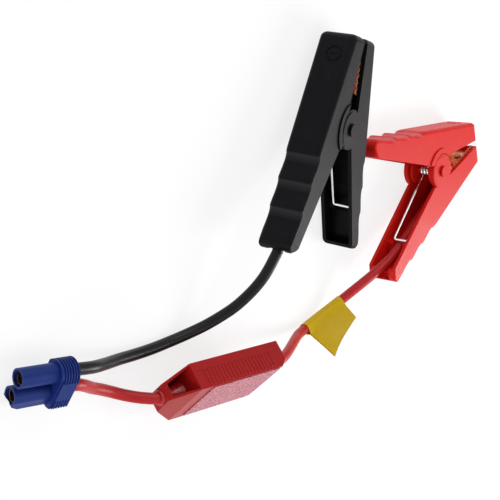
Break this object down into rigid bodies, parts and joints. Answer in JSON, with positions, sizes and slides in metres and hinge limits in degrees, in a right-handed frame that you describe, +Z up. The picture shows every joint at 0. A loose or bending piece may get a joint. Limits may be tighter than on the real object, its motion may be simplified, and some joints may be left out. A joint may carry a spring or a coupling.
{
  "type": "jump-starter lead set with battery clamps",
  "caption": "Jump leads: a keyed two-pole plug, a black and a red lead, an inline protection box, a cable flag, and black and red sprung battery clamps.",
  "frame": {"origin": "middle of the footprint of the plug, box and clamps, at the surface they lie on", "axes": "+Z up from that surface; +Y from the plug towards the red clamp, along the set's longest reach; +X from the clamps' tips towards the leads"},
  "size_m": [0.2092, 0.3084, 0.0352],
  "materials": {
    "black_plastic": "moulded, fine grain",
    "red_plastic": "moulded, semi-gloss",
    "blue_plastic": "moulded, satin",
    "black_jacket": "soft satin jacket",
    "red_jacket": "soft satin jacket",
    "copper": "copper-plated strip",
    "gold": "gold-plated",
    "spring_steel": "bright wire",
    "rivet_steel": "bright",
    "box_red": "moulded, semi-gloss",
    "pad_pink": "stippled",
    "board_green": "laminate",
    "diode_black": "moulded",
    "flag_yellow": "vinyl sheet"
  },
  "bodies": {
    "leads_and_fixed_arms": {"plug_housing": "blue_plastic", "plug_contact_negative": "gold", "plug_contact_positive": "gold", "black_lead": "black_jacket", "black_lead_end": "black_jacket", "black_ferrule": "copper", "black_arm_fixed": "black_plastic", "black_pin": "black_plastic", "black_spring": "spring_steel", "black_jaw_fixed": "copper", "black_rivets_fixed": "rivet_steel", "red_lead_plug_side": "red_jacket", "box_shell_front": "box_red", "box_shell_back": "box_red", "box_pad": "pad_pink", "box_board": "board_green", "box_diodes": "diode_black", "red_lead_clamp_side": "red_jacket", "cable_flag": "flag_yellow", "red_lead_end": "red_jacket", "red_ferrule": "copper", "red_arm_fixed": "red_plastic", "red_pin": "red_plastic", "red_spring": "spring_steel", "red_jaw_fixed": "copper", "red_rivets_fixed": "rivet_steel"},
    "black_moving_arm": {"black_arm_moving": "black_plastic", "black_jaw_moving": "copper", "black_rivets_moving": "rivet_steel"},
    "red_moving_arm": {"red_arm_moving": "red_plastic", "red_jaw_moving": "copper", "red_rivets_moving": "rivet_steel"}
  },
  "joints": [
    {"name": "black_pivot", "type": "hinge", "parent": "leads_and_fixed_arms", "child": "black_moving_arm", "pos_m": [-0.057, -0.0039, 0.01394], "axis": [0.0708, -0.16, -0.9846], "range_deg": [0, 38], "stiffness_Nm_per_rad": 0.8, "springref_deg": -34.38, "deforming": ["black_spring"]},
    {"name": "red_pivot", "type": "hinge", "parent": "leads_and_fixed_arms", "child": "red_moving_arm", "pos_m": [-0.0634, 0.1104, 0.01251], "axis": [-0.1036, -0.0515, 0.9933], "range_deg": [0, 38], "stiffness_Nm_per_rad": 0.8, "springref_deg": -34.38, "deforming": ["red_spring"]}
  ]
}
